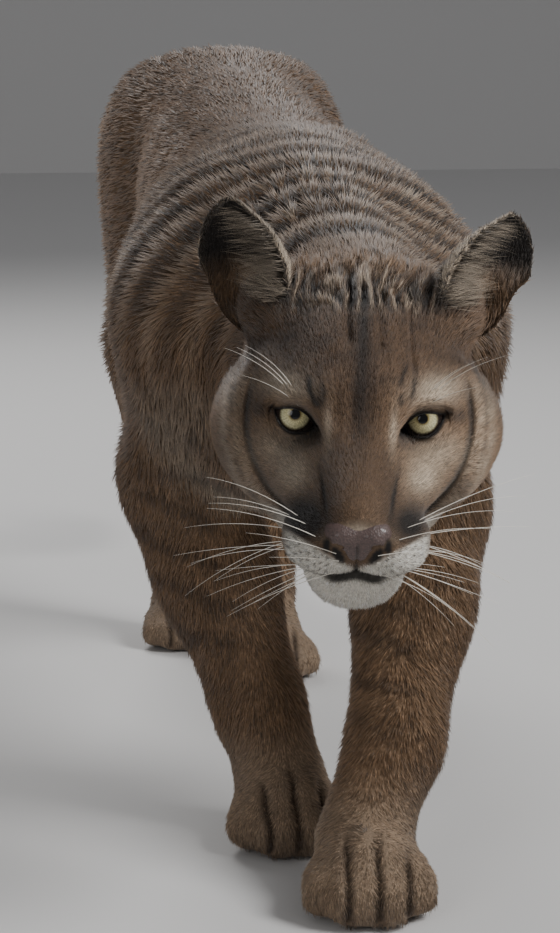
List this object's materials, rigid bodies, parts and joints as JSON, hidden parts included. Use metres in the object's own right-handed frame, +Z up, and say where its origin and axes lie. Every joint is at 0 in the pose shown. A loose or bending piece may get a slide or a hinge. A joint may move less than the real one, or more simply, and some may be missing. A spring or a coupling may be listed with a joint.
{
  "type": "cougar",
  "caption": "Life-size cougar in short tawny fur, walking with its head held low and facing forwards, one forepaw crossed in front of the other, tail hanging behind.",
  "frame": {"origin": "on the floor under the middle of the bounding box", "axes": "+Z up, the nose points to -Y, the animal's left side is +X"},
  "size_m": [0.3278, 1.5842, 0.6512],
  "materials": {
    "fur_tawny": "short fur, matte",
    "fur_pale": "short fur, matte",
    "fur_dark": "short fur, matte",
    "nose": "bare skin, slightly moist",
    "eye": "wet and clear over a pale iris"
  },
  "bodies": {
    "root": {"face": "fur_tawny", "jaw": "fur_pale", "nose": "nose", "eye_left": "eye", "eye_right": "eye", "head": "fur_tawny", "ear_left": "fur_dark", "ear_right": "fur_dark", "neck": "fur_tawny", "chest": "fur_tawny", "belly": "fur_tawny", "rump": "fur_tawny", "tail_base": "fur_tawny", "tail_middle": "fur_tawny", "tail_tip": "fur_dark", "foreleg_left_upper": "fur_tawny", "foreleg_left_forearm": "fur_tawny", "foreleg_left_paw": "fur_pale", "foreleg_right_upper": "fur_tawny", "foreleg_right_forearm": "fur_tawny", "foreleg_right_paw": "fur_pale", "hindleg_left_thigh": "fur_tawny", "hindleg_left_shank": "fur_tawny", "hindleg_left_hock": "fur_tawny", "hindleg_left_paw": "fur_pale", "hindleg_right_thigh": "fur_tawny", "hindleg_right_shank": "fur_tawny", "hindleg_right_hock": "fur_tawny", "hindleg_right_paw": "fur_pale"}
  },
  "joints": []
}
